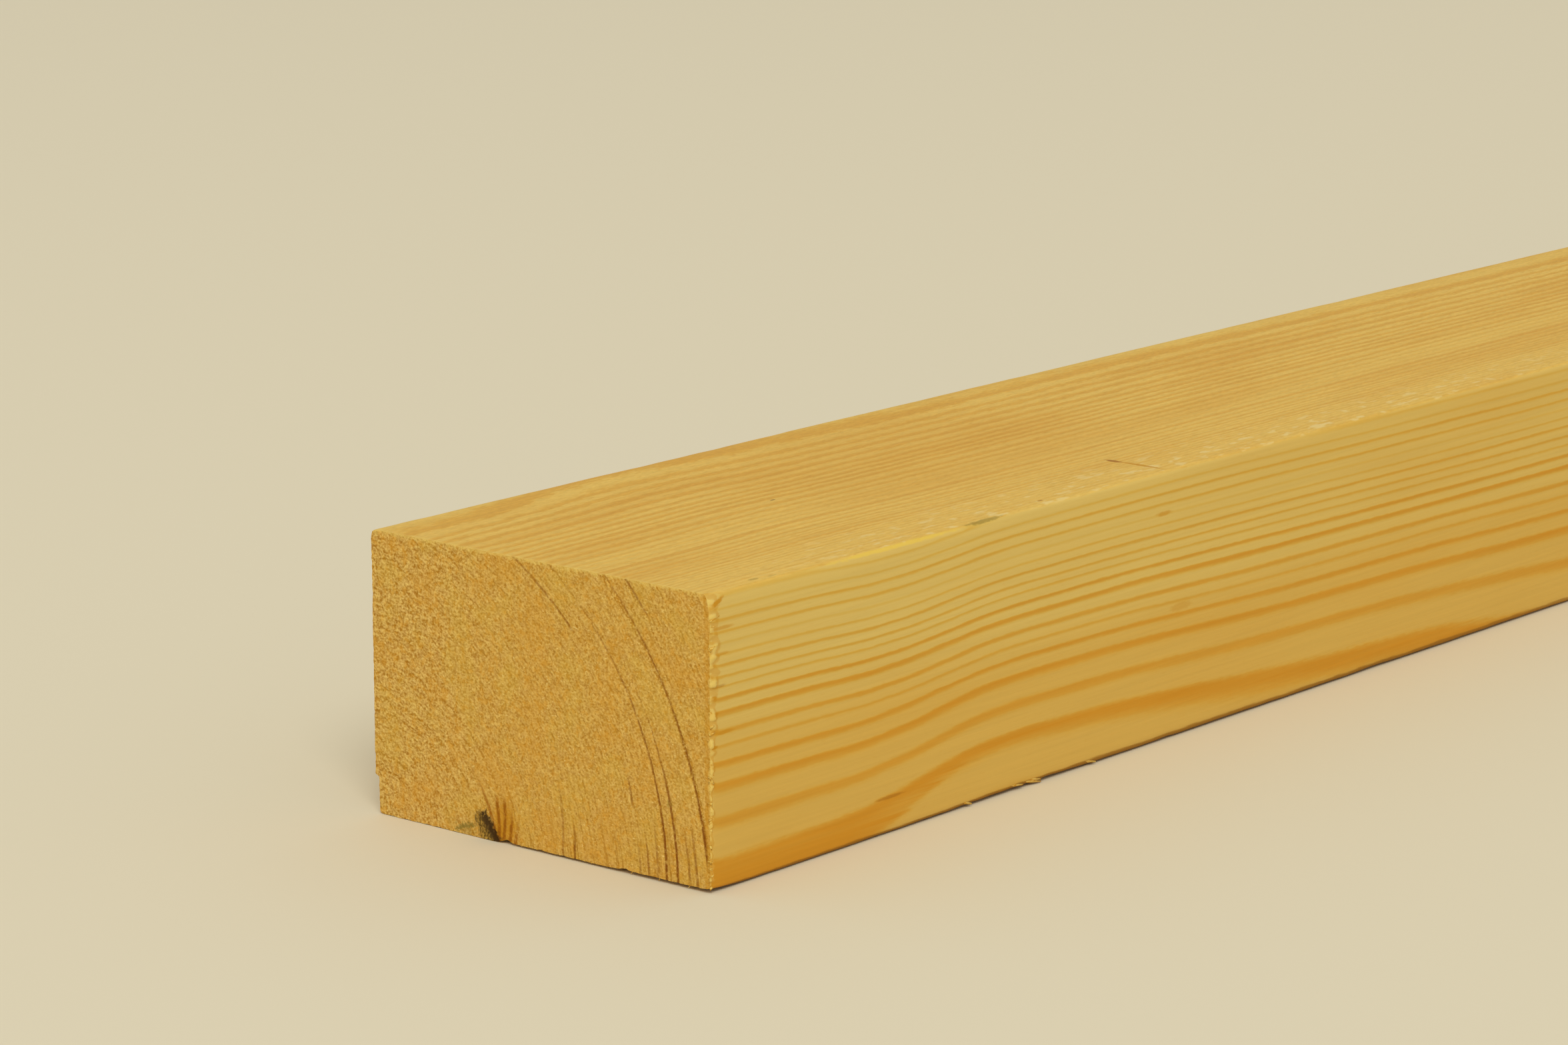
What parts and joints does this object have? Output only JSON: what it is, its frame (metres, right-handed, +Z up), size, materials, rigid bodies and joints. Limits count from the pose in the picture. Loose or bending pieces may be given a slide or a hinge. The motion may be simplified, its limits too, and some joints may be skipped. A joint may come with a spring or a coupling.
{
  "type": "timber plank",
  "caption": "Straight plank of planed softwood with slightly rounded long edges and square sawn ends, for framing, battening or shelving.",
  "frame": {"origin": "middle of the broad face that the plank rests on", "axes": "+X along the grain, away from the sawn end that shows, +Y across the broad faces, +Z up through the thickness"},
  "size_m": [1.8, 0.073, 0.048],
  "materials": {
    "pine": "bare pine, planed on the long faces and sawn on the ends"
  },
  "bodies": {
    "root": {"plank": "pine"}
  },
  "joints": []
}
